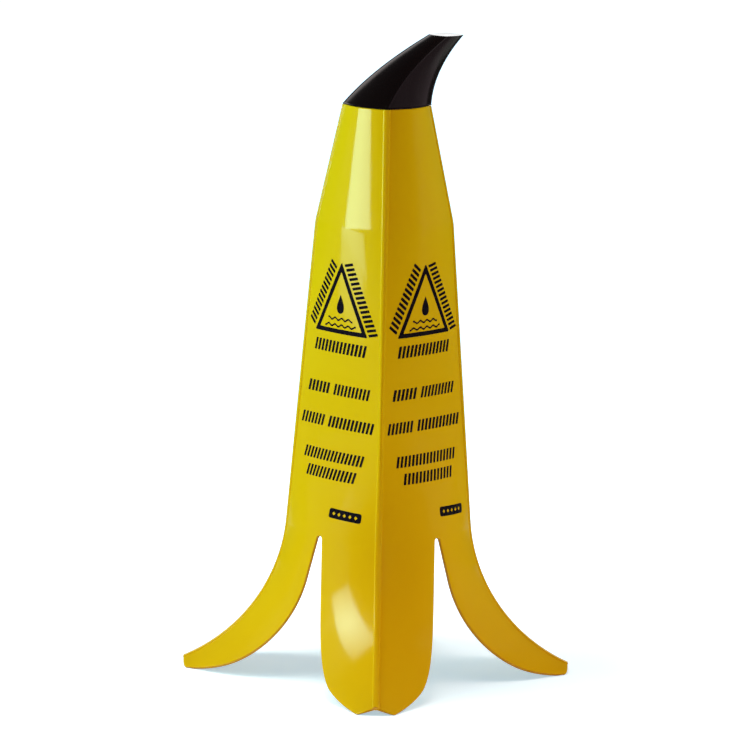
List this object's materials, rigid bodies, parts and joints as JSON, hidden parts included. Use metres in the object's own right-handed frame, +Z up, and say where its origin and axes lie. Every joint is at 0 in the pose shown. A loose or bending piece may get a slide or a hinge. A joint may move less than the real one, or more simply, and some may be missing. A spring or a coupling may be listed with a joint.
{
  "type": "wet floor sign",
  "caption": "Tall four-sided floor safety cone in the form of a peeled fruit, with curled legs to stand on and a leaning stem on top.",
  "frame": {"origin": "centre of the footprint on the floor", "axes": "+Z up; the four printed faces look along +X, -X, +Y and -Y, the legs stand on the diagonals, and the stem leans towards +X +Y"},
  "size_m": [0.2744, 0.2744, 0.5906],
  "materials": {
    "yellow_shell": "glossy moulded polypropylene",
    "brown_stem": "glossy moulded polypropylene",
    "legend_ink": "printed ink film"
  },
  "bodies": {
    "cone": {"cone_shell": "yellow_shell", "legend_front": "legend_ink", "legend_right": "legend_ink", "legend_back": "legend_ink", "legend_left": "legend_ink"},
    "stem": {"stem_cap": "brown_stem"}
  },
  "joints": [
    {"name": "stem_lift", "type": "slide", "parent": "cone", "child": "stem", "axis": [0, 0, 1], "range_m": [0, 0.045]}
  ]
}
